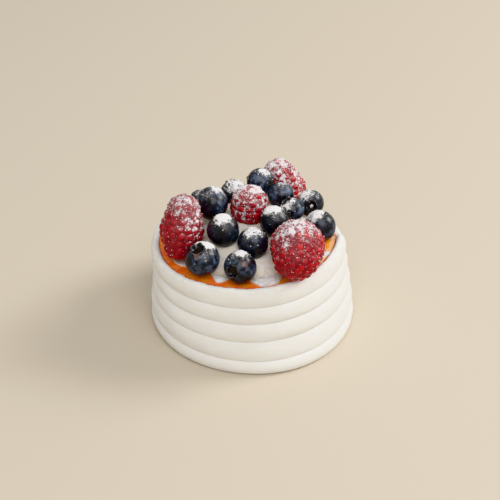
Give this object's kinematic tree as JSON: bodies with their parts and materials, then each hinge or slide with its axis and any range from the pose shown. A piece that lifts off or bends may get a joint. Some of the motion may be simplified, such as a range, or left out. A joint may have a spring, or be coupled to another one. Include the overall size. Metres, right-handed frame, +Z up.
{
  "type": "mini pavlova",
  "caption": "Single-serving pavlova: a white meringue nest piped in stacked rings, filled with orange curd and whipped cream, heaped with raspberries and blueberries and dusted with sugar.",
  "frame": {"origin": "centre of the meringue nest's flat foot, on the surface that it stands on", "axes": "+Z up; -Y towards the viewer's side of the picture; +X to the viewer's right. The -Z axis is the outward normal of the foot."},
  "size_m": [0.0824, 0.0823, 0.0613],
  "materials": {
    "meringue": "matt, dry, slightly chalky",
    "curd": "wet gloss",
    "cream": "soft satin",
    "raspberry": "moist, dusted with sugar",
    "blueberry": "waxy bloom over a dark skin"
  },
  "bodies": {
    "root": {"meringue_nest": "meringue", "orange_curd": "curd", "whipped_cream": "cream", "blueberry_01": "blueberry", "blueberry_02": "blueberry", "blueberry_03": "blueberry", "blueberry_04": "blueberry", "blueberry_05": "blueberry", "blueberry_06": "blueberry", "blueberry_07": "blueberry", "blueberry_08": "blueberry", "blueberry_09": "blueberry", "blueberry_10": "blueberry", "blueberry_11": "blueberry", "blueberry_12": "blueberry", "blueberry_13": "blueberry", "raspberry_left": "raspberry", "raspberry_centre": "raspberry", "raspberry_back": "raspberry", "raspberry_front": "raspberry"}
  },
  "joints": []
}
